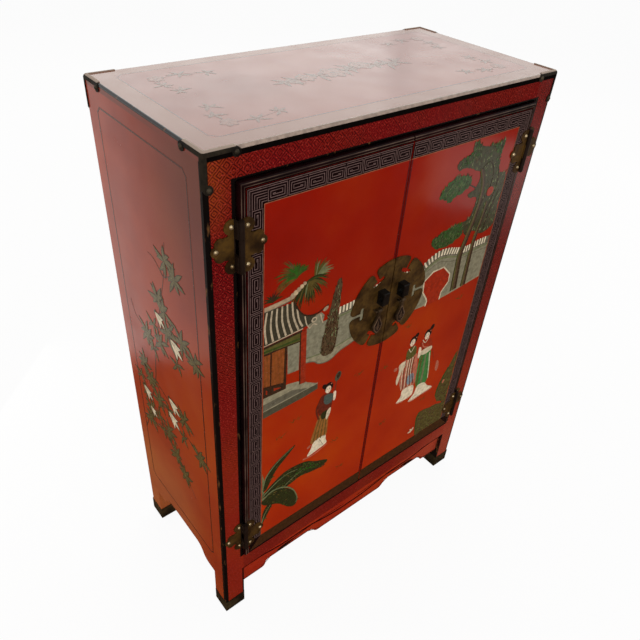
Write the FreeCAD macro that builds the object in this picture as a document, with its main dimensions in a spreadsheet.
import FreeCAD, Part
import math
import os
import re
import Sketcher

# Two-door lacquered cabinet on metal-shod feet, in millimetres.
# +Z is up, the doors face -Y and the origin is under the middle of the whole object.

SIZES = [
    # carcass
    ("width", 610), ("depth", 285), ("height", 900),
    ("post_width", 39), ("post_depth", 36), ("edge_round", 3.5), ("opening_round", 3),
    ("top_thickness", 10), ("top_rail_height", 28), ("bottom_rail_height", 40), ("rail_thickness", 26),
    ("opening_bottom", 155.5), ("panel_thickness", 12), ("back_thickness", 8), ("back_recess", 5),
    ("back_rail_height", 40), ("board_thickness", 12), ("shelf_level", 505), ("shelf_setback", 24),
    ("cleat_size", 18), ("stop_length", 300), ("stop_drop", 8), ("stop_gap", 0.3),
    # shaped lower edges
    ("apron_thickness", 14), ("apron_recess", 8), ("apron_low", 57), ("apron_high", 74),
    ("apron_end", 221), ("apron_ogee", 17), ("apron_centre", 82), ("centre_ogee", 26),
    ("arch_low", 95), ("arch_high", 120), ("arch_end", 18), ("arch_ogee", 42),
    # doors
    ("door_thickness", 18), ("door_proud", 5), ("door_gap", 1.5), ("meeting_gap", 2),
    ("lipping_width", 8), ("lipping_round", 4), ("lipping_quirk", 0.8),
    # butterfly hinges
    ("upper_hinge_drop", 75.5), ("lower_hinge_rise", 64), ("axis_proud", 3), ("barrel_radius", 3.6),
    ("barrel_length", 66), ("middle_knuckle", 22), ("knuckle_gap", 0.3), ("pin_radius", 1.8),
    ("pin_clearance", 0.05), ("pin_head", 1.5), ("pin_head_radius", 2.8), ("leaf_thickness", 1.6),
    ("leaf_start", 4.2), ("leaf_web", 13), ("riser_inner", 2.4), ("riser_outer", 5.4), ("lobe_radius", 9.5),
    ("lobe_offset", 9), ("lobe_rise", 25.5), ("wing_radius", 15), ("wing_offset", 14), ("shoulder_radius", 7),
    ("shoulder_offset", 24), ("shoulder_rise", 8.5), ("tip_radius", 6.5), ("tip_offset", 29.5),
    # nails
    ("nail_radius", 3), ("nail_height", 2.2),
    # lock plate, lugs and drop pulls
    ("plate_radius", 79), ("plate_thickness", 1.8), ("plate_drop", 261.5), ("slot_radius", 59),
    ("slot_length", 18), ("slot_width", 7), ("slot_ease", 0.1), ("neck_width", 6), ("neck_round", 7),
    ("lug_width", 13), ("lug_height", 22), ("lug_length", 13), ("lug_round", 1.5), ("lug_offset", 21),
    ("lug_rise", 21), ("lug_bore", 4),
    ("pull_offset", 25), ("pull_drop", 2), ("pull_length", 44), ("pull_width", 20), ("pull_neck", 6),
    ("pull_shoulder", 27), ("pull_flare", 36), ("pull_belly", 17), ("pull_thickness", 3.5), ("pull_round", 1),
    ("pull_standoff", 5.5), ("wire_radius", 1.5), ("wire_clearance", 0.05), ("staple_width", 11.5),
    ("eye_radius", 3.2), ("eye_length", 7.4),
    # metal caps
    ("cap_thickness", 1.2), ("cap_fit", 0.05), ("foot_cap_height", 35), ("foot_sole", 10), ("sole_round", 9),
    ("corner_arm", 40), ("corner_leg", 4.5), ("corner_lobe", 5.5),
]

DERIVED = [
    ("half_width", "width / 2"),
    ("opening_half", "half_width - post_width"),
    ("post_top", "height - top_thickness"),
    ("opening_top", "post_top - top_rail_height"),
    ("rail_low", "opening_bottom - bottom_rail_height"),
    ("door_half_gap", "meeting_gap / 2"),
    ("door_outer", "opening_half - door_gap"),
    ("door_low", "opening_bottom + door_gap"),
    ("door_high", "opening_top - door_gap"),
    ("front_reach", "door_proud + plate_thickness + lug_length"),
    ("cap_wall", "cap_fit + cap_thickness"),
    ("corner_reach", "corner_arm + 2 * corner_lobe"),
    ("front", "(front_reach - depth - cap_wall - nail_height) / 2"),
    ("back", "front + depth"),
    ("middle", "(front + back) / 2"),
    ("door_face", "front - door_proud"),
    ("door_back", "door_face + door_thickness"),
    ("panel_front", "front + post_depth"),
    ("panel_back", "back - post_depth"),
    ("back_face", "back - back_recess - back_thickness"),
    ("axis_x", "opening_half - door_gap / 2"),
    ("axis_y", "door_face - axis_proud"),
    ("upper_hinge_level", "door_high - upper_hinge_drop"),
    ("lower_hinge_level", "door_low + lower_hinge_rise"),
    ("plate_front", "door_face - plate_thickness"),
    ("plate_level", "door_high - plate_drop"),
    ("lug_level", "plate_level + lug_rise"),
    ("pull_level", "plate_level - pull_drop"),
    ("pull_y", "plate_front - pull_standoff"),
    ("pull_half", "pull_width / 2"),
    ("nail_sphere", "(nail_radius * nail_radius + nail_height * nail_height) / (2 * nail_height)"),
    ("nail_sink", "nail_sphere - nail_height"),
    ("ogee_rise", "apron_high - apron_low"),
    ("ogee_radius", "(apron_ogee * apron_ogee + ogee_rise * ogee_rise) / (4 * ogee_rise)"),
    ("centre_radius", "(centre_ogee * centre_ogee + ogee_rise * ogee_rise) / (4 * ogee_rise)"),
    ("slot_end", "slot_width / 2 + slot_ease"),
    ("arch_rise", "arch_high - arch_low"),
    ("arch_radius", "(arch_ogee * arch_ogee + arch_rise * arch_rise) / (4 * arch_rise)"),
]

SIDEWAYS = FreeCAD.Rotation(FreeCAD.Vector(0, 1, 0), 90)
FORWARD = FreeCAD.Rotation(FreeCAD.Vector(1, 0, 0), 90)
UPRIGHT = FreeCAD.Rotation()
SLOT_ANGLES = (30, 90, 150)
TINY = 1e-6
PLACES = {"x": "Placement.Base.x", "y": "Placement.Base.y", "z": "Placement.Base.z"}

doc = FreeCAD.newDocument("lacquered_cabinet")
sheet = doc.addObject("Spreadsheet::Sheet", "Dims")
points = doc.addObject("Spreadsheet::Sheet", "Points")
nodes = {}


# Sheet and expressions

def fill_sheet():
    rows = [(name, str(value)) for name, value in SIZES]
    rows += [(name, "=" + formula) for name, formula in DERIVED]
    for row, (name, content) in enumerate(rows, start=1):
        sheet.set(f"A{row}", name)
        sheet.set(f"B{row}", content)
        sheet.setAlias(f"B{row}", name)
    doc.recompute()


def size(name):
    return float(sheet.get(name))


def dims(formula):
    """The formula with the sheet's name put before each size."""
    return re.sub(r"[a-z_]+", lambda found: "Dims." + found.group(), formula)


def bind(obj, **formulas):
    for name, formula in formulas.items():
        obj.setExpression(PLACES.get(name, name), dims(formula))
    return obj


def node(name, obj):
    """Names a finished piece."""
    obj.Label = name
    nodes[name] = obj
    return obj


# Solids and booleans

def box(name, length, width, height, x, y, z):
    return bind(doc.addObject("Part::Box", name), Length=length, Width=width, Height=height, x=x, y=y, z=z)


def cylinder(name, radius, height, x, y, z, turn=UPRIGHT):
    solid = doc.addObject("Part::Cylinder", name)
    solid.Placement = FreeCAD.Placement(FreeCAD.Vector(), turn)
    return bind(solid, Radius=radius, Height=height, x=x, y=y, z=z)


def sphere(name, radius, x, y, z):
    return bind(doc.addObject("Part::Sphere", name), Radius=radius, x=x, y=y, z=z)


def fuse(name, *solids):
    result = doc.addObject("Part::MultiFuse", name)
    result.Shapes = list(solids)
    result.Refine = True
    return result


def cut(name, base, tool):
    result = doc.addObject("Part::Cut", name)
    result.Base = base
    result.Tool = tool
    result.Refine = True
    return result


def common(name, *solids):
    result = doc.addObject("Part::MultiCommon", name)
    result.Shapes = list(solids)
    return result


def group(name, *solids):
    result = doc.addObject("Part::Compound", name)
    result.Links = list(solids)
    return result


def mirror(name, source):
    """The same piece on the right-hand side."""
    result = doc.addObject("Part::Mirroring", name)
    result.Source = source
    result.Normal = FreeCAD.Vector(1, 0, 0)
    return result


def mirror_back(name, source):
    """The same piece at the back of the carcass."""
    result = doc.addObject("Part::Mirroring", name)
    result.Source = source
    result.Normal = FreeCAD.Vector(0, 1, 0)
    result.setExpression("Base.y", dims("middle"))
    return result


def pair(name, source):
    """A left piece and its mirror image on the right, both named."""
    node("left_" + name, source)
    node("right_" + name, mirror("right_" + name + "_mirror", source))


# Outlines and padded pieces

def point_cells(outline):
    """Writes the outline's coordinates into the points sheet and returns their cells and values."""
    cells = []
    for corner in outline:
        row = len(points.getUsedCells()) // 2 + 1
        points.set(f"A{row}", "=" + dims(corner[0]))
        points.set(f"B{row}", "=" + dims(corner[1]))
        cells.append((f"A{row}", f"B{row}"))
    points.recompute()
    return cells, [FreeCAD.Vector(float(points.get(a)), float(points.get(b)), 0) for a, b in cells]


def arc_between(start, end, radius, bulge):
    """A counter-clockwise arc and whether the outline runs along it backwards."""
    half = (end - start) / 2
    away = FreeCAD.Vector(half.y, -half.x, 0).normalize() * bulge
    centre = start + half - away * math.sqrt(radius ** 2 - half.Length ** 2)
    angles = [math.atan2(p.y - centre.y, p.x - centre.x) for p in (start, end)]
    backwards = bulge < 0
    if backwards:
        angles.reverse()
    circle = Part.Circle(centre, FreeCAD.Vector(0, 0, 1), radius)
    return Part.ArcOfCircle(circle, *angles), backwards


def draw(sketch, outline):
    """Draws a closed outline of corners (across, up) or (across, up, arc radius, bulge to the right)."""
    cells, corners = point_cells(outline)
    ends = []
    for index, corner in enumerate(outline):
        start, end = corners[index], corners[(index + 1) % len(corners)]
        if len(corner) == 2:
            edge = sketch.addGeometry(Part.LineSegment(start, end))
            ends.append((edge, 1, 2))
        else:
            radius = size(corner[2])
            arc, backwards = arc_between(start, end, radius, corner[3])
            edge = sketch.addGeometry(arc)
            ends.append((edge, 2, 1) if backwards else (edge, 1, 2))
            fixed = sketch.addConstraint(Sketcher.Constraint("Radius", edge, radius))
            sketch.setExpression(f"Constraints[{fixed}]", dims(corner[2]))
    for index, (edge, start, end) in enumerate(ends):
        following, first, _ = ends[(index + 1) % len(ends)]
        sketch.addConstraint(Sketcher.Constraint("Coincident", edge, end, following, first))
        for kind, cell, value in zip(("DistanceX", "DistanceY"), cells[index], corners[index]):
            fixed = sketch.addConstraint(Sketcher.Constraint(kind, -1, 1, edge, start, value))
            sketch.setExpression(f"Constraints[{fixed}]", "Points." + cell)


def plate(name, plane, outline, thickness, **place):
    """A body padded from its outline towards +X, +Y or +Z."""
    body = doc.addObject("PartDesign::Body", name)
    sketch = body.newObject("Sketcher::SketchObject", name + "_outline")
    base = next(feature for feature in body.Origin.OriginFeatures if feature.Role == plane)
    sketch.AttachmentSupport = (base, "")
    sketch.MapMode = "FlatFace"
    draw(sketch, outline)
    pad = body.newObject("PartDesign::Pad", name + "_pad")
    pad.Profile = sketch
    pad.Reversed = plane == "XZ_Plane"
    bind(pad, Length=thickness)
    doc.recompute()
    return bind(body, **place)


def dress(kind, amount, body, radius, chosen):
    """Rounds or chamfers the body's edges that the chosen test picks."""
    base = body.Tip
    edges = [f"Edge{i}" for i, edge in enumerate(base.Shape.Edges, start=1) if chosen(edge)]
    dressing = body.newObject("PartDesign::" + kind, f"{body.Name}_{kind.lower()}")
    dressing.Base = (base, edges)
    bind(dressing, **{amount: radius})
    doc.recompute()


def fillet(body, radius, chosen):
    dress("Fillet", "Radius", body, radius, chosen)


def chamfer(body, width, chosen):
    dress("Chamfer", "Size", body, width, chosen)


def rectangle(left, low, right, high):
    return [(left, low), (right, low), (right, high), (left, high)]


def runs_along(edge, direction):
    step = edge.lastVertex().Point - edge.firstVertex().Point
    return abs(abs(step * direction) - step.Length) < TINY


def near(value, name, sign=1):
    return abs(value - sign * size(name)) < TINY


# Carcass

ALONG_X = FreeCAD.Vector(1, 0, 0)
ALONG_Z = FreeCAD.Vector(0, 0, 1)


def post_blank(name, low, high):
    outline = rectangle("-half_width", low, "-opening_half", high)
    blank = plate(name, "XY_Plane", outline, "post_top - foot_sole", z="foot_sole")
    outer_face = low if low == "front" else high
    fillet(blank, "edge_round", lambda edge: runs_along(edge, ALONG_Z)
           and near(edge.CenterOfMass.x, "half_width", -1) and near(edge.CenterOfMass.y, outer_face))
    return blank


def opening_arris():
    """The sliver taken off a front post where it borders the doors."""
    block = box("post_arris_block", "opening_round", "opening_round", "opening_top - opening_bottom",
                "-opening_half - opening_round", "front", "opening_bottom")
    core = cylinder("post_arris_core", "opening_round", "opening_top - opening_bottom",
                    "-opening_half - opening_round", "front + opening_round", "opening_bottom")
    return cut("post_arris", block, core)


def posts():
    front_blank = post_blank("front_post_blank", "front", "panel_front")
    front_post = cut("front_post", front_blank, opening_arris())
    back_post = post_blank("back_post", "panel_back", "back")
    node("front_left_post", front_post)
    node("front_right_post", mirror("front_right_post_mirror", front_post))
    node("back_left_post", back_post)
    node("back_right_post", mirror("back_right_post_mirror", back_post))


def top_board():
    board = plate("top_board", "XY_Plane", rectangle("-half_width", "front", "half_width", "back"),
                  "top_thickness", z="post_top")
    fillet(board, "edge_round", lambda edge: runs_along(edge, ALONG_Z)
           or near(edge.CenterOfMass.z, "top_thickness"))
    node("top_board", board)


def front_rails():
    top = [("front", "opening_top + opening_round", "opening_round", 1),
           ("front + opening_round", "opening_top"), ("front + rail_thickness", "opening_top"),
           ("front + rail_thickness", "post_top"), ("front", "post_top")]
    bottom = [("front", "rail_low"), ("front + rail_thickness", "rail_low"),
              ("front + rail_thickness", "opening_bottom"),
              ("front + opening_round", "opening_bottom", "opening_round", 1),
              ("front", "opening_bottom - opening_round")]
    for name, outline in (("top_rail", top), ("bottom_rail", bottom)):
        node(name, plate(name, "YZ_Plane", outline, "2 * opening_half", x="-opening_half"))


def back_frame():
    levels = {"back_top_rail": "post_top - back_rail_height", "back_bottom_rail": "rail_low"}
    for name, level in levels.items():
        node(name, box(name, "2 * opening_half", "rail_thickness", "back_rail_height", "-opening_half",
                       "back - rail_thickness", level))
    node("back_panel", box("back_panel", "2 * opening_half", "back_thickness",
                           "post_top - 2 * back_rail_height - rail_low", "-opening_half", "back_face",
                           "rail_low + back_rail_height"))


def ogee(across, low, along, high, radius, bulge):
    """Two arcs that leave and arrive level."""
    return [(across, low, radius, bulge),
            (f"(({across}) + ({along})) / 2", f"({low} + {high}) / 2", radius, -bulge)]


def side_panels():
    outline = [("panel_front", "arch_low")]
    outline += ogee("panel_front + arch_end", "arch_low", "panel_front + arch_end + arch_ogee", "arch_high",
                    "arch_radius", 1)
    outline += [("panel_front + arch_end + arch_ogee", "arch_high")]
    outline += ogee("panel_back - arch_end - arch_ogee", "arch_high", "panel_back - arch_end", "arch_low",
                    "arch_radius", -1)
    outline += [("panel_back - arch_end", "arch_low"), ("panel_back", "arch_low"),
                ("panel_back", "post_top"), ("panel_front", "post_top")]
    panel = plate("side_panel", "YZ_Plane", outline, "panel_thickness", x="-half_width")
    pair("side_panel", panel)


def front_apron():
    outline = [("-opening_half", "apron_low")]
    outline += ogee("-apron_end", "apron_low", "-apron_end + apron_ogee", "apron_high", "ogee_radius", 1)
    outline += [("-apron_end + apron_ogee", "apron_high")]
    outline += ogee("-apron_centre - centre_ogee", "apron_high", "-apron_centre", "apron_low",
                    "centre_radius", -1)
    outline += [("-apron_centre", "apron_low")]
    outline += ogee("apron_centre", "apron_low", "apron_centre + centre_ogee", "apron_high",
                    "centre_radius", 1)
    outline += [("apron_centre + centre_ogee", "apron_high")]
    outline += ogee("apron_end - apron_ogee", "apron_high", "apron_end", "apron_low", "ogee_radius", -1)
    outline += [("apron_end", "apron_low"), ("opening_half", "apron_low"), ("opening_half", "rail_low"),
                ("-opening_half", "rail_low")]
    node("front_apron", plate("front_apron", "XZ_Plane", outline, "apron_thickness",
                              y="front + apron_recess"))


def inner_boards():
    inside = "2 * (half_width - panel_thickness)"
    left = "panel_thickness - half_width"
    all_posts = group("posts_together", *[nodes[name] for name in nodes if name.endswith("_post")])
    floor = box("floor_blank", inside, "back_face - front - rail_thickness", "board_thickness", left,
                "front + rail_thickness", "opening_bottom - board_thickness")
    back_rail = nodes["back_bottom_rail"]
    node("bottom_board", cut("bottom_board", floor, group("floor_notches", all_posts, back_rail)))
    shelf = box("shelf_blank", inside, "back_face - door_back - shelf_setback", "board_thickness", left,
                "door_back + shelf_setback", "shelf_level - board_thickness")
    node("shelf", cut("shelf", shelf, all_posts))
    cleat = box("shelf_cleat", "cleat_size", "panel_back - panel_front", "cleat_size", left, "panel_front",
                "shelf_level - board_thickness - cleat_size")
    pair("shelf_cleat", cleat)
    node("door_stop", box("door_stop", "stop_length", "front + rail_thickness - door_back - stop_gap",
                          "stop_drop", "-stop_length / 2", "door_back + stop_gap",
                          "opening_top - stop_drop"))


# Doors

def doors():
    inner = "-door_half_gap"
    outer = "-door_outer"
    seat = "-door_outer + lipping_width"
    low_seat = "door_low + lipping_width"
    high_seat = "door_high - lipping_width"
    pair("door_board", plate("door_board", "XZ_Plane", rectangle(seat, low_seat, inner, high_seat),
                             "door_thickness", y="door_face"))
    lippings = {
        "top": [(seat, high_seat), (inner, high_seat), (inner, "door_high"), (outer, "door_high")],
        "side": [(outer, "door_low"), (seat, low_seat), (seat, high_seat), (outer, "door_high")],
        "bottom": [(outer, "door_low"), (inner, "door_low"), (inner, low_seat), (seat, low_seat)],
    }
    outward = {"top": ALONG_Z, "side": -ALONG_X, "bottom": -ALONG_Z}
    for name, outline in lippings.items():
        lipping = plate(f"door_{name}_lipping", "XZ_Plane", outline, "door_thickness", y="door_face")
        direction = ALONG_Z if name == "side" else ALONG_X

        def reach(edge):
            return edge.CenterOfMass * outward[name]

        def on_face(edge):
            return runs_along(edge, direction) and abs(edge.CenterOfMass.y) < TINY

        farthest = max(reach(edge) for edge in lipping.Tip.Shape.Edges if on_face(edge))
        fillet(lipping, "lipping_round", lambda edge: on_face(edge) and reach(edge) > farthest - TINY)
        nearest = min(reach(edge) for edge in lipping.Tip.Shape.Edges if on_face(edge))
        chamfer(lipping, "lipping_quirk", lambda edge: on_face(edge) and reach(edge) < nearest + TINY)
        pair(f"door_{name}_lipping", lipping)


# Butterfly hinges

HINGES = {"upper": "upper_hinge_level", "lower": "lower_hinge_level"}


def leaf_plate(name, side, face, level):
    """The lobed flat of a leaf, without its barrel."""
    depth = f"{face} - leaf_thickness"
    discs = [("lobe_radius", "lobe_offset", f"{level} + lobe_rise"),
             ("lobe_radius", "lobe_offset", f"{level} - lobe_rise"),
             ("wing_radius", "wing_offset", level), ("tip_radius", "tip_offset", level),
             ("shoulder_radius", "shoulder_offset", f"{level} + shoulder_rise"),
             ("shoulder_radius", "shoulder_offset", f"{level} - shoulder_rise")]
    solids = [cylinder(f"{name}_disc_{i}", radius, "leaf_thickness", f"-axis_x {side} {offset}", face, height,
                       FORWARD) for i, (radius, offset, height) in enumerate(discs)]
    web_left = "-axis_x" if side == "+" else "-axis_x - leaf_web"
    solids.append(box(f"{name}_web", "leaf_web", "leaf_thickness", "2 * lobe_rise", web_left, depth,
                      f"{level} - lobe_rise"))
    whole = fuse(f"{name}_lobes", *solids)
    room_left = "-axis_x - leaf_start"
    room = box(f"{name}_room", "2 * leaf_start", "leaf_thickness", "2 * (lobe_rise + lobe_radius)", room_left,
               depth, f"{level} - lobe_rise - lobe_radius")
    return cut(f"{name}_flat", whole, room)


def leaf(name, side, face, level, knuckles):
    """A leaf with the knuckles that turn on the pin; each knuckle is (bottom, length)."""
    solids = [leaf_plate(name, side, face, level)]
    riser_left = "-axis_x + riser_inner" if side == "+" else "-axis_x - riser_outer"
    for i, (bottom, length) in enumerate(knuckles):
        solids.append(cylinder(f"{name}_knuckle_{i}", "barrel_radius", length, "-axis_x", "axis_y", bottom))
        solids.append(box(f"{name}_riser_{i}", "riser_outer - riser_inner", f"{face} - axis_y", length,
                          riser_left, "axis_y", bottom))
    bore = cylinder(f"{name}_bore", "pin_radius + pin_clearance", "barrel_length", "-axis_x", "axis_y",
                    f"{level} - barrel_length / 2")
    return cut(name, fuse(f"{name}_solid", *solids), bore)


def pin(name, level):
    foot = f"{level} - barrel_length / 2"
    shaft = cylinder(f"{name}_shaft", "pin_radius", "barrel_length", "-axis_x", "axis_y", foot)
    heads = [cylinder(f"{name}_low_head", "pin_head_radius", "pin_head", "-axis_x", "axis_y",
                      f"{foot} - pin_head"),
             cylinder(f"{name}_high_head", "pin_head_radius", "pin_head", "-axis_x", "axis_y",
                      f"{level} + barrel_length / 2")]
    return fuse(name, shaft, *heads)


def nail(name, face, x, z, turn=FORWARD):
    """A domed head seated on a face that looks to -Y."""
    dome = sphere(name, "nail_sphere", x, f"{face} + nail_sink", z)
    dome.Placement = FreeCAD.Placement(FreeCAD.Vector(), turn)
    dome.setExpression("Angle1", "asin(Dims.nail_sink / Dims.nail_sphere)")
    return dome


def leaf_nails(name, side, face, level):
    spots = [("lobe_offset", "+ lobe_rise"), ("lobe_offset", "- lobe_rise"), ("tip_offset", "")]
    return [nail(f"{name}_nail_{i}", f"{face} - leaf_thickness", f"-axis_x {side} {offset}",
                 f"{level} {rise}") for i, (offset, rise) in enumerate(spots)]


def hinges():
    outer = "(barrel_length - middle_knuckle) / 2 - knuckle_gap"
    pins, frame_nails, door_nails = [], [], []
    for name, level in HINGES.items():
        low_end = f"{level} - barrel_length / 2"
        frame_knuckles = [(low_end, outer), (f"{level} + middle_knuckle / 2 + knuckle_gap", outer)]
        door_knuckles = [(f"{level} - middle_knuckle / 2", "middle_knuckle")]
        frame_leaf = leaf(f"{name}_frame_leaf", "-", "front", level, frame_knuckles)
        door_leaf = leaf(f"{name}_door_leaf", "+", "door_face", level, door_knuckles)
        for part, solid in (("frame_leaf", frame_leaf), ("door_leaf", door_leaf)):
            node(f"{name}_left_{part}", solid)
            node(f"{name}_right_{part}", mirror(f"{name}_right_{part}_mirror", solid))
        pins.append(pin(f"{name}_pin", level))
        frame_nails += leaf_nails(f"{name}_frame", "-", "front", level)
        door_nails += leaf_nails(f"{name}_door", "+", "door_face", level)
    for name, solids in (("hinge_pins", pins), ("frame_hinge_nails", frame_nails)):
        left = group(f"left_{name}", *solids)
        node(name, group(name, left, mirror(f"right_{name}", left)))
    pair("door_nails", group("door_nails", *door_nails))


# Lock plate, lugs and drop pulls

def lock_slot(index, angle):
    """One T-shaped slot with round ends, open to the rim, turned away from the top by the angle."""
    turn = FreeCAD.Rotation(FreeCAD.Vector(0, 1, 0), -angle)
    past_rim = "plate_radius + slot_width"
    inner = "slot_radius - slot_width"
    outline = [("-neck_width / 2", "slot_radius"), ("-slot_length / 2", "slot_radius", "slot_end", 1),
               ("-slot_length / 2", inner), ("slot_length / 2", inner, "slot_end", 1),
               ("slot_length / 2", "slot_radius"),
               ("neck_width / 2", "slot_radius"), ("neck_width / 2", past_rim), ("-neck_width / 2", past_rim)]
    slot = plate(f"lock_slot_{index}", "XZ_Plane", outline, "plate_thickness")
    slot.Placement = FreeCAD.Placement(FreeCAD.Vector(), turn)
    return bind(slot, y="plate_front", z="plate_level")


def lock_plates():
    disc = cylinder("lock_disc", "plate_radius", "plate_thickness", "0", "door_face", "plate_level", FORWARD)
    other_half = box("lock_other_half", "plate_radius + door_half_gap", "plate_thickness", "2 * plate_radius",
                     "-door_half_gap", "plate_front", "plate_level - plate_radius")
    slots = [lock_slot(i, angle) for i, angle in enumerate(SLOT_ANGLES)]
    sharp = cut("lock_plate_sharp", disc, group("lock_cuts", other_half, *slots))
    doc.recompute()
    centre = FreeCAD.Vector(0, 0, size("plate_level"))
    rounded = doc.addObject("Part::Fillet", "lock_plate")
    rounded.Base = sharp
    corners = []
    for index, edge in enumerate(sharp.Shape.Edges, start=1):
        arm = edge.CenterOfMass - centre
        arm.y = 0
        if runs_along(edge, FreeCAD.Vector(0, 1, 0)) and near(arm.Length, "plate_radius") \
                and arm.x < -size("neck_width"):
            corners.append((index, size("neck_round"), size("neck_round")))
    rounded.Edges = corners
    pair("lock_plate", rounded)


def lock_lugs():
    left = "-lug_offset - lug_width / 2"
    outline = rectangle(left, "lug_level - lug_height / 2", "-lug_offset + lug_width / 2",
                        "lug_level + lug_height / 2")
    blank = plate("lug_blank", "XZ_Plane", outline, "lug_length", y="plate_front - lug_length")
    fillet(blank, "lug_round", lambda edge: abs(edge.CenterOfMass.y) < TINY)
    bore = cylinder("lug_bore_tool", "lug_bore", "lug_width", left, "plate_front - lug_length / 2",
                    "lug_level", SIDEWAYS)
    pair("lock_lug", cut("lock_lug", blank, bore))


def drop_pulls():
    left_leg = "-pull_offset - staple_width / 2"
    right_leg = "-pull_offset + staple_width / 2"
    wire = [cylinder("staple_bar", "wire_radius", "staple_width", left_leg, "pull_y", "pull_level", SIDEWAYS)]
    for side, x in (("left", left_leg), ("right", right_leg)):
        wire.append(cylinder(f"staple_{side}_leg", "wire_radius", "pull_standoff", x, "plate_front",
                             "pull_level", FORWARD))
        wire.append(sphere(f"staple_{side}_bend", "wire_radius", x, "pull_y", "pull_level"))
    pair("pull_staple", fuse("pull_staple", *wire))
    shoulder = "pull_level - pull_shoulder"
    outline = [("-pull_offset - pull_neck / 2", "pull_level", "pull_flare", -1),
               ("-pull_offset - pull_half", shoulder, "pull_belly", 1),
               ("-pull_offset", "pull_level - pull_length", "pull_belly", 1),
               ("-pull_offset + pull_half", shoulder, "pull_flare", -1),
               ("-pull_offset + pull_neck / 2", "pull_level")]
    shield = plate("pull_shield", "XZ_Plane", outline, "pull_thickness", y="pull_y - pull_thickness / 2")
    fillet(shield, "pull_round", lambda edge: abs(edge.CenterOfMass.y) < TINY
           and not near(edge.CenterOfMass.z, "pull_level"))
    eye_left = "-pull_offset - eye_length / 2"
    eye = cylinder("pull_eye", "eye_radius", "eye_length", eye_left, "pull_y", "pull_level", SIDEWAYS)
    hole = cylinder("pull_hole", "wire_radius + wire_clearance", "eye_length", eye_left, "pull_y",
                    "pull_level", SIDEWAYS)
    pair("drop_pull", cut("drop_pull", fuse("pull_solid", shield, eye), hole))


# Metal caps on the feet and top corners

def sole_profile(name, plane, low, high, length, **place):
    """A foot's outline from one side, rounded under, and padded across the foot."""
    outline = [(f"{low} + sole_round", "0"), (f"{high} - sole_round", "0", "sole_round", 1),
               (high, "sole_round"), (high, "foot_cap_height"), (low, "foot_cap_height"),
               (low, "sole_round", "sole_round", 1)]
    return plate(name, plane, outline, length, **place)


def foot_caps():
    left, right = "-half_width - cap_wall", "-opening_half + cap_wall"
    near_side, far_side = "front - cap_wall", "panel_front + cap_wall"
    plan = plate("foot_cap_plan", "XY_Plane", rectangle(left, near_side, right, far_side), "foot_cap_height")
    fillet(plan, "edge_round", lambda edge: runs_along(edge, ALONG_Z))
    along = sole_profile("foot_cap_along", "YZ_Plane", near_side, far_side, "post_width + 2 * cap_wall",
                         x=left)
    across = sole_profile("foot_cap_across", "XZ_Plane", left, right, "post_depth + 2 * cap_wall",
                          y=near_side)
    outer = common("foot_cap_outer", plan, along, across)
    inner = plate("foot_cap_inner", "XY_Plane",
                  rectangle("-half_width - cap_fit", "front - cap_fit", "-opening_half + cap_fit",
                            "panel_front + cap_fit"), "foot_cap_height", z="foot_sole")
    cap = cut("foot_cap", outer, inner)
    back_cap = mirror_back("back_foot_cap", cap)
    for place, solid in (("front", cap), ("back", back_cap)):
        node(f"{place}_left_foot_cap", solid)
        node(f"{place}_right_foot_cap", mirror(f"{place}_right_foot_cap_mirror", solid))


def corner_block(name, grow):
    """The rounded top corner of the carcass, grown outwards."""
    block = plate(name, "XY_Plane",
                  rectangle(f"-half_width - {grow}", f"front - {grow}", "-half_width + corner_reach",
                            "front + corner_reach"), f"corner_reach + {grow}", z="height - corner_reach")
    left = min(vertex.X for vertex in block.Tip.Shape.Vertexes)
    low = min(vertex.Y for vertex in block.Tip.Shape.Vertexes)
    high = max(vertex.Z for vertex in block.Tip.Shape.Vertexes)

    def meets_corner(edge):
        corner = FreeCAD.Vector(left, low, high)
        return any((vertex.Point - corner).Length < TINY for vertex in edge.Vertexes)

    fillet(block, f"edge_round + {grow}", meets_corner)
    return block


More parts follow.
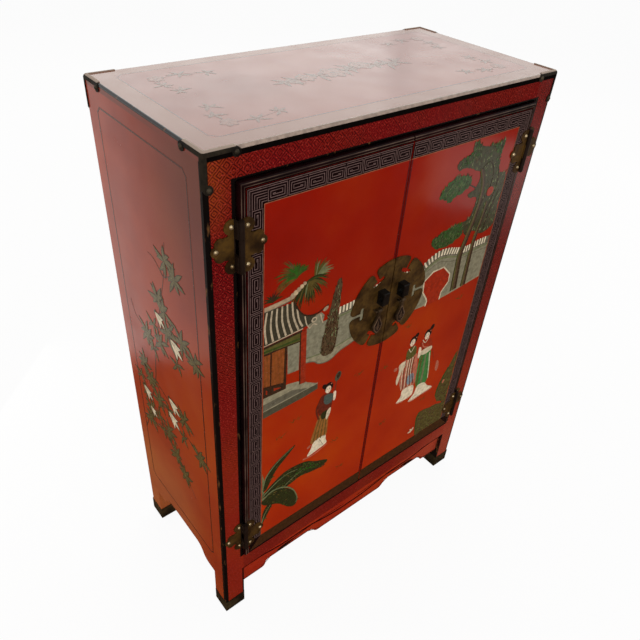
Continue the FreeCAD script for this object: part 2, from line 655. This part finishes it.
def corner_caps():
    shell = cut("corner_shell", corner_block("corner_outer", "cap_wall"),
                corner_block("corner_inner", "cap_fit"))
    left = "-half_width - cap_wall"
    face = "front - cap_wall"
    leg = "corner_leg + cap_wall"
    arm = "corner_arm + cap_wall"
    strips = [box("cap_front_strip", arm, leg, leg, left, face, "height - corner_leg"),
              box("cap_side_strip", leg, arm, leg, left, face, "height - corner_leg"),
              box("cap_post_strip", leg, leg, arm, left, face, "height - corner_arm")]
    end = "-half_width + corner_arm"
    low = "height - corner_arm"
    strips += [cylinder("cap_front_lobe", "corner_lobe", leg, end, "front + corner_leg",
                        "height - corner_lobe", FORWARD),
               cylinder("cap_side_lobe", "corner_lobe", leg, left, "front + corner_arm",
                        "height - corner_lobe", SIDEWAYS),
               cylinder("cap_post_lobe", "corner_lobe", leg, "-half_width + corner_lobe",
                        "front + corner_leg", low, FORWARD)]
    cap = common("corner_cap", shell, fuse("cap_strips", *strips))
    back_cap = mirror_back("back_corner_cap", cap)
    for place, solid in (("front", cap), ("back", back_cap)):
        node(f"{place}_left_corner_cap", solid)
        node(f"{place}_right_corner_cap", mirror(f"{place}_right_corner_cap_mirror", solid))
    side_nail = nail("cap_side_nail", face, left, "height - corner_lobe",
                     FreeCAD.Rotation(FreeCAD.Vector(0, 1, 0), -90))
    bind(side_nail, x=f"{left} + nail_sink", y="front + corner_arm")
    front_nails = [nail("cap_front_nail", face, end, "height - corner_lobe"),
                   nail("cap_post_nail", face, "-half_width + corner_lobe", low), side_nail]
    quarter = group("corner_nails_quarter", *front_nails)
    half = group("corner_nails_half", quarter, mirror_back("corner_nails_back", quarter))
    node("corner_cap_nails", group("corner_cap_nails", half, mirror("corner_nails_right", half)))


def export():
    doc.recompute()
    broken = [obj.Name for obj in doc.Objects if "Invalid" in obj.State or "Error" in obj.State]
    broken += [name for name, obj in nodes.items() if obj.Shape.isNull() or not obj.Shape.isValid()]
    if broken:
        raise RuntimeError("not built: " + ", ".join(broken))
    os.makedirs("parts", exist_ok=True)
    for name, obj in nodes.items():
        obj.Shape.exportStep(f"parts/{name}.step")
        print(f"{name}: {len(obj.Shape.Solids)} solids, {obj.Shape.Volume / 1000:.1f} cm3")


fill_sheet()
posts()
top_board()
front_rails()
back_frame()
side_panels()
front_apron()
inner_boards()
doors()
hinges()
lock_plates()
lock_lugs()
drop_pulls()
foot_caps()
corner_caps()
export()
